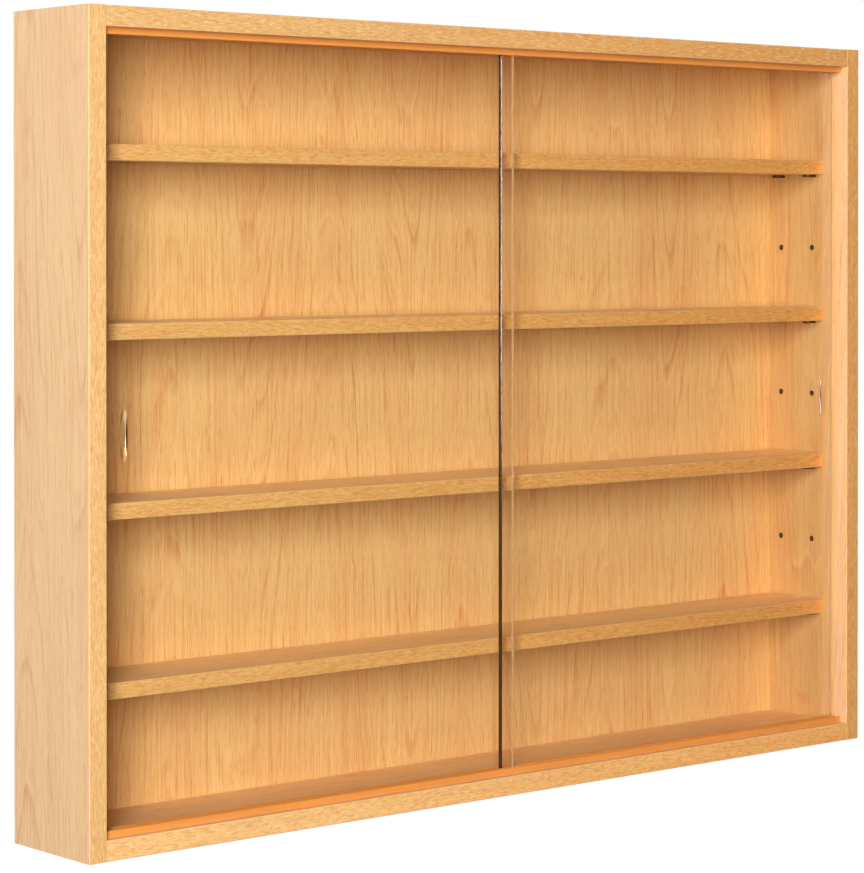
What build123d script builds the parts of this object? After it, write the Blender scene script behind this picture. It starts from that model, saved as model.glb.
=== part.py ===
"""Wall display case with two sliding glass doors and four loose shelves.

All lengths are millimetres. +X is to the right, +Y points back to the wall and +Z is up.
The origin lies on the case's rear plane, halfway between the entry holes of the two keyhole
hanger plates, which is where the wall screws take the case.
"""

from build123d import *
import os

# Driving sizes of the carcass
case_width = 800.0
case_height = 600.0
case_depth = 97.0
panel_thickness = 15.0
band_thickness = 1.0
band_edge_radius = 0.9
back_thickness = 3.0
back_rebate_width = 8.0
back_edge_gap = 0.25
back_end_inset = 1.0

# Driving sizes of the glass doors
glass_thickness = 4.0
glass_arris = 0.8
door_overlap = 10.0
door_end_gap = 3.0
door_floor_gap = 0.2
door_top_engagement = 3.0
grip_height = 38.0
grip_width = 6.5
grip_depth = 1.3
grip_arc_sink = 2.1
grip_inset = 17.0
grip_drop = 2.0

# Driving sizes of the door tracks
track_setback = 7.0
track_wall = 1.2
track_floor = 1.0
track_lip = 4.8
track_side_gap = 0.4
track_lip_radius = 0.5
top_track_height = 10.0
track_end_gap = 0.5
groove_side_gap = 0.15

# Driving sizes of the shelves and their pegs
shelf_count = 4
shelf_thickness = 12.0
shelf_setback = 29.0
shelf_end_gap = 0.75
shelf_rear_gap = 0.5
rows_per_shelf = 2
row_end_margin = 93.0
peg_inset = 14.0
peg_hole_radius = 2.5
peg_hole_depth = 10.0
peg_pin_clearance = 0.05
peg_tip_gap = 1.0
peg_paddle_width = 9.5
peg_paddle_length = 9.5
peg_paddle_thickness = 2.3

# Driving sizes of the corner fittings
cam_radius = 7.4
cam_height = 12.0
cam_clearance = 0.1
cam_set_in = 24.0
cam_channel_radius = 3.6
cam_cross_length = 7.0
cam_cross_width = 1.4
cam_cross_depth = 3.0
bolt_thread_radius = 2.45
bolt_thread_length = 10.0
bolt_shank_radius = 2.95
bolt_neck_radius = 1.6
bolt_neck_length = 3.2
bolt_head_radius = 2.8
bolt_head_length = 3.0
bolt_bore_radius = 3.5
bolt_clearance = 0.05
dowel_radius = 3.95
dowel_in_side = 10.0
dowel_in_panel = 18.0
dowel_chamfer = 0.8
dowel_clearance = 0.05
dowel_end_gap = 0.5
front_dowel_setback = 32.0
rear_dowel_inset = 17.0

# Driving sizes of the hanger plates and their screws
hanger_drop = 60.0
hanger_width = 11.5
hanger_height = 46.0
hanger_gap = 0.1
keyhole_entry_radius = 4.25
keyhole_slot_half_width = 2.25
keyhole_rise = 10.0
keyhole_pocket_margin = 0.8
keyhole_pocket_depth = 8.0
hanger_screw_end = 4.5
screw_shank_radius = 1.45
screw_head_radius = 2.9
screw_head_height = 1.6
screw_length = 16.0
screw_clearance = 0.05
screw_slot_width = 0.8
screw_slot_depth = 0.7

# Driving sizes of the pins that hold the back panel
pin_radius = 0.7
pin_length = 14.0
pin_head_radius = 1.5
pin_head_height = 0.6
pin_clearance = 0.03
pin_spacing = 110.0
pin_end_clear = 50.0

# Places that follow from the sizes
half_width = case_width / 2
inner_half_width = half_width - panel_thickness
keyhole_height = case_height - hanger_drop - keyhole_rise / 2
bottom_z = -keyhole_height
top_z = bottom_z + case_height
middle_z = (bottom_z + top_z) / 2
floor_z = bottom_z + panel_thickness
ceiling_z = top_z - panel_thickness
rear_y = 0.0
front_y = rear_y - case_depth
core_front_y = front_y + band_thickness
back_face_y = rear_y - back_thickness

track_front_y = front_y + track_setback
channel_pitch = track_wall + glass_thickness + 2 * track_side_gap
track_width = 2 * channel_pitch + track_wall
front_pane_y = track_front_y + track_wall + track_side_gap
rear_pane_y = front_pane_y + channel_pitch
groove_depth = top_track_height - track_lip

door_width = inner_half_width + door_overlap / 2 - door_end_gap
door_bottom_z = floor_z + track_floor + door_floor_gap
door_top_z = ceiling_z - track_lip + door_top_engagement
grip_z = (door_bottom_z + door_top_z) / 2 - grip_drop

shelf_front_y = front_y + shelf_setback
shelf_rear_y = back_face_y - shelf_rear_gap
row_count = rows_per_shelf * (shelf_count - 1) + 1
row_pitch = (ceiling_z - floor_z - 2 * row_end_margin) / (row_count - 1)
row_heights = [floor_z + row_end_margin + row * row_pitch for row in range(row_count)]
peg_columns = (shelf_front_y + peg_inset, shelf_rear_y - peg_inset)
# Shelf 1 is the highest one.
shelf_heights = [row_heights[row_count - 1 - rows_per_shelf * shelf] for shelf in range(shelf_count)]

cam_y = (front_y + back_face_y) / 2
dowel_columns = (front_y + front_dowel_setback, rear_y - rear_dowel_inset)
corner_levels = (bottom_z + panel_thickness / 2, top_z - panel_thickness / 2)
hanger_x = half_width - panel_thickness / 2
hanger_z = top_z - hanger_drop


def block(x_span, y_span, z_span):
    """A box between the two ends of each span."""
    size = [span[1] - span[0] for span in (x_span, y_span, z_span)]
    middle = [(span[1] + span[0]) / 2 for span in (x_span, y_span, z_span)]
    return Pos(*middle) * Box(*size)


def rod_x(x_start, x_end, y, z, radius):
    """A round bar along X."""
    return Pos((x_start + x_end) / 2, y, z) * Rot(0, 90, 0) * Cylinder(radius, abs(x_end - x_start))


def rod_y(x, y_start, y_end, z, radius):
    """A round bar along Y."""
    return Pos(x, (y_start + y_end) / 2, z) * Rot(90, 0, 0) * Cylinder(radius, abs(y_end - y_start))


def rod_z(x, y, z_start, z_end, radius):
    """A round bar along Z."""
    return Pos(x, y, (z_start + z_end) / 2) * Cylinder(radius, abs(z_end - z_start))


def fused(solids):
    """One solid from several that meet."""
    first, *others = solids
    return first.fuse(*others) if others else first


def group(solids):
    """Separate solids that share a node."""
    return Compound([solid for shape in solids for solid in shape.solids()])


# Places where the fasteners sit, shared by the pieces and their holes
def back_pin_places():
    """The x and z of each pin through the back panel, round its four edges."""
    along_count = int((inner_half_width - pin_end_clear) // pin_spacing)
    along = [step * pin_spacing for step in range(-along_count, along_count + 1)]
    rows = [(x, z) for x in along for z in corner_levels]
    up_count = int((case_height / 2 - 2 * pin_end_clear) // pin_spacing)
    up = [middle_z + step * pin_spacing for step in range(-up_count, up_count + 1)]
    side_x = inner_half_width + back_rebate_width / 2
    return rows + [(side * side_x, z) for side in (-1, 1) for z in up]


def hanger_screw_places():
    """The x and z of the two screws in each hanger plate."""
    reach = hanger_height / 2 - hanger_screw_end
    return [(side * hanger_x, hanger_z + end * reach) for side in (-1, 1) for end in (-1, 1)]


def back_pin_bores():
    """The bores that the pins fill, in the back panel and in the edges behind it."""
    radius = pin_radius + pin_clearance
    return [rod_y(x, rear_y - pin_length, rear_y, z, radius) for x, z in back_pin_places()]


def hanger_screw_bores():
    """The bores that the hanger screws fill behind their plates."""
    radius = screw_shank_radius + screw_clearance
    return [rod_y(x, rear_y - screw_length, rear_y, z, radius) for x, z in hanger_screw_places()]


def keyhole(side, entry_radius, slot_half_width, y_span):
    """A keyhole prism: a round entry with a slot that rises from it to a round end."""
    x = side * hanger_x
    entry_z = hanger_z - keyhole_rise / 2
    end_z = entry_z + keyhole_rise
    return fused([
        rod_y(x, y_span[0], y_span[1], entry_z, entry_radius),
        block((x - slot_half_width, x + slot_half_width), y_span, (entry_z, end_z)),
        rod_y(x, y_span[0], y_span[1], end_z, slot_half_width),
    ])


def hanger_blank(side, gap):
    """The outline of a hanger plate, or with a gap the space that it is let into."""
    half = hanger_width / 2 + gap
    reach = hanger_height / 2 + gap
    x = side * hanger_x
    return block((x - half, x + half), (back_face_y, rear_y), (hanger_z - reach, hanger_z + reach))


# Carcass panels
def side_panel(side):
    """A full-height side with its rebate, peg holes, corner fitting holes and hanger pocket."""
    inner_x = side * inner_half_width
    outer_x = side * half_width
    rebate_x = side * (inner_half_width + back_rebate_width)
    panel = block(sorted((inner_x, outer_x)), (core_front_y, rear_y), (bottom_z, top_z))
    cuts = [block(sorted((inner_x, rebate_x)), (back_face_y, rear_y), (bottom_z, top_z))]
    hole_end_x = inner_x + side * peg_hole_depth
    for z in row_heights:
        for y in peg_columns:
            cuts.append(rod_x(inner_x, hole_end_x, y, z, peg_hole_radius))
    for z in corner_levels:
        thread_end_x = inner_x + side * (bolt_thread_length + dowel_end_gap)
        cuts.append(rod_x(inner_x, thread_end_x, cam_y, z, bolt_thread_radius + bolt_clearance))
        dowel_end_x = inner_x + side * (dowel_in_side + dowel_end_gap)
        for y in dowel_columns:
            cuts.append(rod_x(inner_x, dowel_end_x, y, z, dowel_radius + dowel_clearance))
    cuts.append(hanger_blank(side, hanger_gap))
    pocket_span = (back_face_y - keyhole_pocket_depth, back_face_y)
    pocket_radius = keyhole_entry_radius + keyhole_pocket_margin
    cuts.append(keyhole(side, pocket_radius, pocket_radius, pocket_span))
    cuts.extend(hanger_screw_bores())
    cuts.extend(back_pin_bores())
    return panel.cut(*cuts)


def cross_panel(level, outward):
    """The top or bottom panel with its corner fitting holes; outward is its outer side in Z."""
    low_z = level - panel_thickness / 2
    high_z = level + panel_thickness / 2
    outer_z = level + outward * panel_thickness / 2
    x_span = (-inner_half_width, inner_half_width)
    panel = block(x_span, (core_front_y, back_face_y), (low_z, high_z))
    cuts = back_pin_bores()
    for side in (-1, 1):
        end_x = side * inner_half_width
        cam_x = end_x - side * cam_set_in
        cam_floor_z = outer_z - outward * (cam_height + cam_clearance)
        cuts.append(rod_z(cam_x, cam_y, cam_floor_z, outer_z, cam_radius + cam_clearance))
        cuts.append(rod_x(cam_x, end_x, cam_y, level, bolt_bore_radius))
        dowel_end_x = end_x - side * (dowel_in_panel + dowel_end_gap)
        for y in dowel_columns:
            cuts.append(rod_x(dowel_end_x, end_x, y, level, dowel_radius + dowel_clearance))
    return panel.cut(*cuts)


def top_panel():
    """The top panel, grooved on its underside for the upper door track."""
    y_span = (track_front_y - groove_side_gap, track_front_y + track_width + groove_side_gap)
    x_span = (-inner_half_width, inner_half_width)
    groove = block(x_span, y_span, (ceiling_z, ceiling_z + groove_depth))
    return cross_panel(corner_levels[1], 1).cut(groove)


def bottom_panel():
    """The bottom panel, which carries the lower door track on its upper face."""
    return cross_panel(corner_levels[0], -1)


def back_panel():
    """The thin back, let into the sides' rebates and notched round the hanger plates."""
    half = inner_half_width + back_rebate_width - back_edge_gap
    z_span = (bottom_z + back_end_inset, top_z - back_end_inset)
    panel = block((-half, half), (back_face_y, rear_y), z_span)
    cuts = [hanger_blank(side, hanger_gap) for side in (-1, 1)]
    cuts.extend(back_pin_bores())
    head_radius = pin_head_radius + pin_clearance
    for x, z in back_pin_places():
        cuts.append(rod_y(x, rear_y - pin_head_height, rear_y, z, head_radius))
    return panel.cut(*cuts)


def edge_band(x_span, z_span, face_y, along):
    """A strip on a panel's front edge whose two long corners are rounded."""
    strip = block(x_span, (face_y, face_y + band_thickness), z_span)
    long_edges = strip.edges().filter_by(along).group_by(Axis.Y)[0]
    return fillet(long_edges, radius=band_edge_radius)


# Door tracks
def track(web_z, lip_z):
    """A double channel: a web with three walls that end in rounded lips."""
    half = inner_half_width - track_end_gap
    upward = 1 if lip_z > web_z else -1
    web_span = sorted((web_z, web_z + upward * track_floor))
    wall_span = sorted((web_z, lip_z))
    pieces = [block((-half, half), (track_front_y, track_front_y + track_width), web_span)]
    for wall in range(3):
        wall_y = track_front_y + wall * channel_pitch
        pieces.append(block((-half, half), (wall_y, wall_y + track_wall), wall_span))
    channel = fused(pieces)
    lips = channel.edges().filter_by(Axis.X).group_by(Axis.Z)[-1 if upward > 0 else 0]
    return fillet(lips, radius=track_lip_radius)


def top_track():
    """The upper track, glued into the top panel's groove, deep enough to lift a door out."""
    return track(ceiling_z + groove_depth, ceiling_z - track_lip)


def bottom_track():
    """The lower track, glued on the bottom panel, on whose floor the doors run."""
    return track(floor_z, floor_z + track_lip)


# Glass doors
def glass_door(side, pane_y):
    """A pane with ground arrises and a scooped finger grip near its outer edge."""
    outer_x = side * (inner_half_width - door_end_gap)
    inner_x = outer_x - side * door_width
    pane = block(
        sorted((inner_x, outer_x)),
        (pane_y, pane_y + glass_thickness),
        (door_bottom_z, door_top_z),
    )
    pane = chamfer(pane.edges(), length=glass_arris)
    grip_x = outer_x - side * grip_inset
    return pane.cut(grip_scoop(grip_x, pane_y))


def grip_scoop(x, face_y):
    """A ring that dips into the pane and is cut off flat at the grip's depth.

    Its arcs across and along the grip alone would sink further, by the arc sink.
    """
    arc_across = ((grip_width / 2) ** 2 + grip_arc_sink ** 2) / (2 * grip_arc_sink)
    arc_along = ((grip_height / 2) ** 2 + grip_arc_sink ** 2) / (2 * grip_arc_sink)
    centre_y = face_y + grip_arc_sink - arc_along
    ring = Pos(x, centre_y, grip_z) * Rot(0, 90, 0) * Torus(arc_along - arc_across, arc_across)
    reach = block(
        (x - grip_width, x + grip_width),
        (face_y - grip_depth, face_y + grip_depth),
        (grip_z - grip_height, grip_z + grip_height),
    )
    return ring & reach


# Shelves and pegs
def shelf(height):
    """A loose board behind its front band."""
    half = inner_half_width - shelf_end_gap
    y_span = (shelf_front_y + band_thickness, shelf_rear_y)
    return block((-half, half), y_span, (height, height + shelf_thickness))


def shelf_band(height):
    """The rounded strip on a shelf's front edge."""
    half = inner_half_width - shelf_end_gap
    return edge_band((-half, half), (height, height + shelf_thickness), shelf_front_y, Axis.X)


def shelf_peg(side, y, height):
    """A pin with a flat round-ended paddle, whose top lies level with the pin's centre."""
    wall_x = side * inner_half_width
    pin_end_x = wall_x + side * (peg_hole_depth - peg_tip_gap)
    tip_x = wall_x - side * peg_paddle_length
    round_x = tip_x + side * peg_paddle_width / 2
    half = peg_paddle_width / 2
    z_span = (height - peg_paddle_thickness, height)
    return fused([
        rod_x(pin_end_x, wall_x, y, height, peg_hole_radius - peg_pin_clearance),
        block(sorted((wall_x, round_x)), (y - half, y + half), z_span),
        rod_z(round_x, y, z_span[0], z_span[1], half),
    ])


def shelf_pegs():
    """Four pegs under each shelf."""
    return group([
        shelf_peg(side, y, height)
        for height in shelf_heights
        for side in (-1, 1)
        for y in peg_columns
    ])


# Corner fittings
def corners():
    """Each corner's side, the level of its cross panel, and which way that panel's outer face looks."""
    return [(side, level, outward) for side in (-1, 1) for level, outward in zip(corner_levels, (-1, 1))]


def cam_lock(side, level, outward):
    """A cam disc with a channel for its bolt's head and a cross recess for the driver."""
    cam_x = side * (inner_half_width - cam_set_in)
    outer_z = level + outward * panel_thickness / 2
    inner_z = outer_z - outward * cam_height
    disc = rod_z(cam_x, cam_y, inner_z, outer_z, cam_radius)
    channel = rod_x(cam_x - side * cam_channel_radius, cam_x + side * cam_radius, cam_y, level,
                    cam_channel_radius)
    recess_span = sorted((outer_z, outer_z - outward * cam_cross_depth))
    long_half = cam_cross_length / 2
    short_half = cam_cross_width / 2
    bars = [
        block((cam_x - a, cam_x + a), (cam_y - b, cam_y + b), recess_span)
        for a, b in ((long_half, short_half), (short_half, long_half))
    ]
    return disc.cut(channel, *bars)


def cam_bolt(side, level):
    """A bolt screwed into the side, whose necked head the cam pulls on."""
    wall_x = side * inner_half_width
    head_end_x = wall_x - side * (cam_set_in + bolt_head_length / 2)
    head_x = head_end_x + side * bolt_head_length
    neck_x = head_x + side * bolt_neck_length
    return fused([
        rod_x(wall_x, wall_x + side * bolt_thread_length, cam_y, level, bolt_thread_radius),
        rod_x(neck_x, wall_x, cam_y, level, bolt_shank_radius),
        rod_x(head_x, neck_x, cam_y, level, bolt_neck_radius),
        rod_x(head_end_x, head_x, cam_y, level, bolt_head_radius),
    ])


def dowel(side, level, y):
    """A plain wood dowel with chamfered ends."""
    wall_x = side * inner_half_width
    body = rod_x(wall_x + side * dowel_in_side, wall_x - side * dowel_in_panel, y, level, dowel_radius)
    return chamfer(body.edges().filter_by(GeomType.CIRCLE), length=dowel_chamfer)


# Hangers
def hanger_plate(side):
    """A steel plate with a keyhole and two countersunk screw holes, flush with the rear plane."""
    cuts = [keyhole(side, keyhole_entry_radius, keyhole_slot_half_width, (back_face_y, rear_y))]
    for x, z in hanger_screw_places():
        cuts.append(rod_y(x, back_face_y, rear_y, z, screw_shank_radius + screw_clearance))
        cuts.append(countersink(x, z, screw_clearance))
    return hanger_blank(side, 0).cut(*cuts)


def countersink(x, z, gap):
    """The cone of a screw's head, or with a gap the seat that it fills."""
    cone = Cone(screw_shank_radius + gap, screw_head_radius + gap, screw_head_height)
    return Pos(x, rear_y - screw_head_height / 2, z) * Rot(-90, 0, 0) * cone


def hanger_screw(x, z):
    """A countersunk screw with a slotted head."""
    shank = rod_y(x, rear_y - screw_length, rear_y - screw_head_height, z, screw_shank_radius)
    slot = block(
        (x - screw_head_radius, x + screw_head_radius),
        (rear_y - screw_slot_depth, rear_y),
        (z - screw_slot_width / 2, z + screw_slot_width / 2),
    )
    return fused([shank, countersink(x, z, 0)]).cut(slot)


def back_pin(x, z):
    """A flat-headed pin driven through the back panel."""
    return fused([
        rod_y(x, rear_y - pin_length, rear_y - pin_head_height, z, pin_radius),
        rod_y(x, rear_y - pin_head_height, rear_y, z, pin_head_radius),
    ])


# Every piece under its name
def pieces():
    """The case's pieces by name."""
    outer_spans = {"left": (-half_width, -inner_half_width), "right": (inner_half_width, half_width)}
    cross_span = (-inner_half_width, inner_half_width)
    found = {
        "left_side_panel": side_panel(-1),
        "right_side_panel": side_panel(1),
        "top_panel": top_panel(),
        "bottom_panel": bottom_panel(),
        "back_panel": back_panel(),
        "top_edge_band": edge_band(cross_span, (ceiling_z, top_z), front_y, Axis.X),
        "bottom_edge_band": edge_band(cross_span, (bottom_z, floor_z), front_y, Axis.X),
        "top_track": top_track(),
        "bottom_track": bottom_track(),
        "left_glass_door": glass_door(-1, front_pane_y),
        "right_glass_door": glass_door(1, rear_pane_y),
        "shelf_pegs": shelf_pegs(),
        "cam_locks": group([cam_lock(*corner) for corner in corners()]),
        "cam_bolts": group([cam_bolt(side, level) for side, level, _ in corners()]),
        "wood_dowels": group([dowel(side, level, y) for side, level, _ in corners() for y in dowel_columns]),
        "left_hanger_plate": hanger_plate(-1),
        "right_hanger_plate": hanger_plate(1),
        "hanger_screws": group([hanger_screw(x, z) for x, z in hanger_screw_places()]),
        "back_panel_pins": group([back_pin(x, z) for x, z in back_pin_places()]),
    }
    for name, x_span in outer_spans.items():
        found[f"{name}_edge_band"] = edge_band(x_span, (bottom_z, top_z), front_y, Axis.Z)
    for number, height in enumerate(shelf_heights, start=1):
        found[f"shelf_{number}"] = shelf(height)
        found[f"shelf_{number}_edge_band"] = shelf_band(height)
    return found


os.makedirs("parts", exist_ok=True)
for name, piece in pieces().items():
    export_step(piece, f"parts/{name}.step")

door_reach = 2 * inner_half_width - door_width - door_end_gap
print("bottom of the case, z:", bottom_z, "row pitch:", row_pitch)
print("door width and height:", door_width, door_top_z - door_bottom_z, "free travel:", door_reach)
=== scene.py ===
"""Looks of a wall display case: printed beech laminate, glass doors, tracks and fittings.

Every length is in metres, in the case's own frame: +X to the right, +Y back into the wall, +Z up.
"""

import math

import bpy
import numpy as np
from bpy.props import FloatProperty, FloatVectorProperty, PointerProperty
from bpy.types import Operator, Panel, PropertyGroup
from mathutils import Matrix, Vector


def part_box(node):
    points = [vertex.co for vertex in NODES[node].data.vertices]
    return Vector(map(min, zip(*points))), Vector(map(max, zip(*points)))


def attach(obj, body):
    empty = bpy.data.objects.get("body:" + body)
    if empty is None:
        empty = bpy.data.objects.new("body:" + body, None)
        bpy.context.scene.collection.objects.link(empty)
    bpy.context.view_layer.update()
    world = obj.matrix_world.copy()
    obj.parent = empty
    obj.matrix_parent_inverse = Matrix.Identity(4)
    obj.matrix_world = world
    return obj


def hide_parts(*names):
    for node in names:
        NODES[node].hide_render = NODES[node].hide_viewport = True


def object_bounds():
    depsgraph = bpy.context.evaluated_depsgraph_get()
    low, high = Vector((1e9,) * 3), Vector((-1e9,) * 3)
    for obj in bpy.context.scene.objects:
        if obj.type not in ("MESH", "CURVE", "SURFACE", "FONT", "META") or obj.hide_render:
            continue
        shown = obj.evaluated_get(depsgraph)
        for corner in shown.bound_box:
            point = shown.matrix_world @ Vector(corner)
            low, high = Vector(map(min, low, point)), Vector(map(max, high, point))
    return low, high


bl_info = {
    "name": "Wall display case looks",
    "version": (1, 0, 0),
    "blender": (4, 5, 0),
    "location": "3D View > Sidebar > Display case",
    "description": "Finishes the pieces of a wall display case and sets its stage",
    "category": "Object",
}

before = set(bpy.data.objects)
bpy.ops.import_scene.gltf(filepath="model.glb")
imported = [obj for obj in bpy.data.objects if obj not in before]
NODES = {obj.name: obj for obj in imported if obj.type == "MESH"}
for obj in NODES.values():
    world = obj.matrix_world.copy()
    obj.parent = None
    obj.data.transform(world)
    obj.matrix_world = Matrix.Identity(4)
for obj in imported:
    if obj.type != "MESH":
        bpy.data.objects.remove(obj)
CAD_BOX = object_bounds()
SHELVES = sorted(node for node in NODES if node.startswith("shelf_") and node[-1].isdigit())
X, Y, Z = range(3)
MM = 0.001

# Steps of slope up the walls of a pane's grip
WALL_STEPS = 14
# Points round each ring of a pane, and round each ring of a shelf peg
PANE_POINTS = 96
PEG_POINTS = 28
# Size of a shelf peg's rounded corners
PEG_CORNER = 0.45 * MM
# Edges that turn by more than this stay sharp
SHARP_TURN = math.radians(40)
# The height that the relief of a print or a board stands for
RELIEF = 0.05 * MM
# The finishes on a pane, in the order of its material slots
CLEAR, EDGE, ARRIS, GRIP_PAINTED_SHADE, RIGHT_EDGE_PAINTED_LIGHT = range(5)
# How far the lamps beside and behind stand to the left of the front, in degrees
FILL_TURNS = {"side": -100, "rear": 180}


def tone(red, green, blue):
    """A display colour of three values up to 255, as the linear colour that shaders take."""
    shares = np.array((red, green, blue)) / 255
    linear = np.where(shares <= 0.04045, shares / 12.92, ((shares + 0.055) / 1.055) ** 2.4)
    return tuple(float(value) for value in linear)


def colour(name, description, default):
    """A colour that a user may change."""
    return FloatVectorProperty(
        name=name, description=description, subtype="COLOR", size=3, min=0.0, max=1.0, default=default
    )


def length(name, description, default):
    """A length that a user may change."""
    return FloatProperty(
        name=name, description=description, unit="LENGTH", subtype="DISTANCE", min=0.0, default=default,
        precision=5,
    )


def share(name, description, default):
    """A share from 0 to 1 that a user may change."""
    return FloatProperty(name=name, description=description, min=0.0, max=1.0, default=default)


def power(name, description, default):
    """A lamp's power that a user may change."""
    return FloatProperty(name=name, description=description, unit="POWER", min=0.0, default=default)


def angle(name, description, degrees):
    """An angle that a user may change."""
    return FloatProperty(
        name=name, description=description, unit="ROTATION", subtype="ANGLE",
        default=math.radians(degrees),
    )


# Settings
class WoodSettings(PropertyGroup):
    """Colours and figure of the printed beech and of the boards under it."""

    panel_ground: colour("Panel ground", "Main colour of the panels' laminate", tone(247, 207, 156))
    panel_blush: colour("Panel blush", "Pinker colour in the panels' laminate", tone(244, 199, 151))
    # Painted shade: darker tones for the sides' inner faces behind the panes
    inner_shade_ground: colour("Inner ground", "Main colour of the sides' inner faces", tone(218, 185, 127))
    inner_shade_blush: colour("Inner blush", "Pinker colour of the sides' inner faces", tone(214, 175, 119))
    # Painted shade: darker tones for the boards' lower faces
    under_shade_ground: colour("Under ground", "Main colour of the boards' lower faces", tone(222, 170, 104))
    under_shade_blush: colour("Under blush", "Pinker colour of the boards' lower faces", tone(216, 160, 96))
    shelf_ground: colour("Shelf ground", "Main colour of the shelves' laminate", tone(250, 214, 160))
    shelf_blush: colour("Shelf blush", "Pinker colour of the shelves' laminate", tone(246, 206, 153))
    back_ground: colour("Back ground", "Yellower colour of the back's print", tone(240, 206, 141))
    back_blush: colour("Back blush", "Pinker colour of the back's print", tone(238, 197, 134))
    # Painted shade: the carcass bands darken from the case's left to its right
    band_ground: colour("Band ground", "Carcass bands at the left of the case", tone(236, 192, 126))
    band_right_shade: colour("Band deep", "Carcass bands at the right of the case", tone(243, 178, 99))
    # Painted light and shade: top and right bands darker, bottom band lighter
    band_painted_light_shares: FloatVectorProperty(
        name="Band shares", description="Lightness of the left, top, right and bottom bands", size=4,
        min=0.0, default=(1.0, 0.94, 0.95, 1.16),
    )
    # Painted shade: the shelves' bands darken from left to right
    lip_ground: colour("Shelf band ground", "Shelves' bands at their left", tone(248, 202, 125))
    lip_right_shade: colour("Shelf band deep", "Shelves' bands at their right", tone(252, 184, 98))
    # Painted highlight: paler colour along the bands' long corners
    band_corner_highlight: colour("Band corners", "Rubbed long corners of the edge bands", tone(252, 212, 160))
    vein: colour("Vein", "Colour of the growth lines", tone(204, 120, 56))
    pale: colour("Pale streak", "Colour of the pale streaks", tone(253, 220, 160))
    fleck: colour("Fleck", "Colour of the short fibre flecks", tone(188, 106, 48))
    chip_light: colour("Light chips", "Pale chips where board shows its core", tone(140, 92, 48))
    chip_dark: colour("Dark chips", "Dark chips where board shows its core", tone(92, 50, 20))
    hardboard: colour("Hardboard", "Raw rear of the back panel", tone(136, 92, 56))
    figure_width: length("Figure width", "Width from one growth figure to the next", 0.15)
    ring_gap: length("Ring gap", "Least distance between growth lines", 0.008)
    ring_reach: length("Ring reach", "Distance between growth lines along the grain", 0.1)


class GlassSettings(PropertyGroup):
    """The two glass doors."""

    clear: colour("Glass", "Tint of the panes", tone(255, 251, 245))
    # Painted shade: the brown tint of the panes' edges and arrises
    edge: colour("Edge", "Tint of light that comes out of the panes' edges", tone(96, 58, 24))
    # Painted light: the paler tint of the edges that face right
    edge_painted_light: colour("Pale edge", "Tint of the panes' right edges", tone(199, 156, 98))
    arris: length("Arris", "Width of the corners ground off the panes", 0.8 * MM)
    face_loss: share("Face loss", "Share of the lamps' light that each of a pane's faces stops", 0.05)
    grip_height: length("Grip height", "Length of the scooped grip", 38 * MM)
    grip_width: length("Grip width", "Width of the scooped grip", 6.5 * MM)
    grip_depth: length("Grip depth", "Depth of the grip's flat floor", 1.3 * MM)
    grip_arc_sink: length("Grip arc sink", "How deep the arcs of the grip's walls would go", 2.1 * MM)
    # Painted shade: a near-black tint on the left grip's steep walls
    grip_painted_shade: colour("Grip walls", "Tint of the ground part of the left grip's walls", tone(30, 16, 8))
    ground_slope: angle("Ground slope", "Slope from which the grip's walls are left ground", 45.0)
    grip_inset: length("Grip inset", "From the grip's middle to the door's outer edge", 17 * MM)
    grip_drop: length("Grip drop", "How far the grip sits under the door's middle", 2 * MM)


class FittingSettings(PropertyGroup):
    """Tracks, pegs, corner fittings and hangers."""

    track: colour("Tracks", "Plastic of the door tracks", tone(236, 156, 74))
    peg: colour("Pegs", "Plastic of the shelf pegs", tone(80, 42, 18))
    zinc: colour("Zinc", "Cast metal of the cams", tone(168, 168, 166))
    steel: colour("Steel", "Plated steel of screws, pins and plates", tone(196, 192, 180))
    dowel: colour("Dowels", "Plain beech", tone(222, 188, 140))
    pin_radius: length("Pin radius", "Radius of a shelf peg's pin", 2.45 * MM)
    pin_reach: length("Pin reach", "Length of a shelf peg's pin", 9 * MM)
    paddle_half: length("Paddle half width", "Half the width of a shelf peg's paddle", 4.75 * MM)
    paddle_depth: length("Paddle thickness", "Thickness of a shelf peg's paddle", 2.3 * MM)


class StageSettings(PropertyGroup):
    """Floor, lamps and camera."""

    floor_drop: length("Floor drop", "Height of the case over the floor", 1.15)
    ambient: share("Ambient", "Light from all round", 0.006)
    key_power: power("Key power", "Power of the main lamp", 168.0)
    key_width: length("Key width", "Width of the main lamp", 0.95)
    key_height: length("Key height", "Height of the main lamp", 2.0)
    key_distance: length("Key distance", "Distance of the main lamp from the case", 3.6)
    key_rise: length("Key rise", "Height of the main lamp over the case's middle", 0.78)
    key_turn: angle("Key turn", "How far the main lamp stands to the left of the front", 44.5)
    fill_power: power("Fill power", "Power of the lamps beside and behind", 90.0)
    fill_size: length("Fill size", "Width and height of the lamps beside and behind", 1.6)
    fill_distance: length("Fill distance", "Distance of the lamps beside and behind", 3.0)
    fill_rise: length("Fill rise", "Height of these lamps over the case's middle", 1.0)
    front_power: power("Front power", "Power of the weak lamp in front", 10.0)
    front_size: length("Front size", "Width and height of the weak lamp in front", 1.2)
    front_rise: length("Front rise", "Height of the weak lamp over the case's middle", 0.1)
    front_tint: colour("Front tint", "Colour of the weak lamp in front", tone(255, 176, 96))
    front_turn: angle("Front turn", "How far the weak lamp stands to the left of the front", 22.0)
    camera_place: FloatVectorProperty(
        name="Camera place", description="Where the camera stands", subtype="TRANSLATION", size=3,
        precision=6, default=(-1.534034, -1.805517, -0.096022),
    )
    focal_length: FloatProperty(
        name="Focal length", description="Camera lens in millimetres", default=120.805
    )
    camera_turn: angle("Camera turn", "How far the camera looks to the right of straight back", 40.1753)
    camera_dip: angle("Camera dip", "How far the camera looks down", 0.5)
    shift_x: FloatProperty(name="Shift X", description="Sideways lens shift", default=0.00483)
    shift_y: FloatProperty(name="Shift Y", description="Upward lens shift", default=-0.20145)


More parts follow.
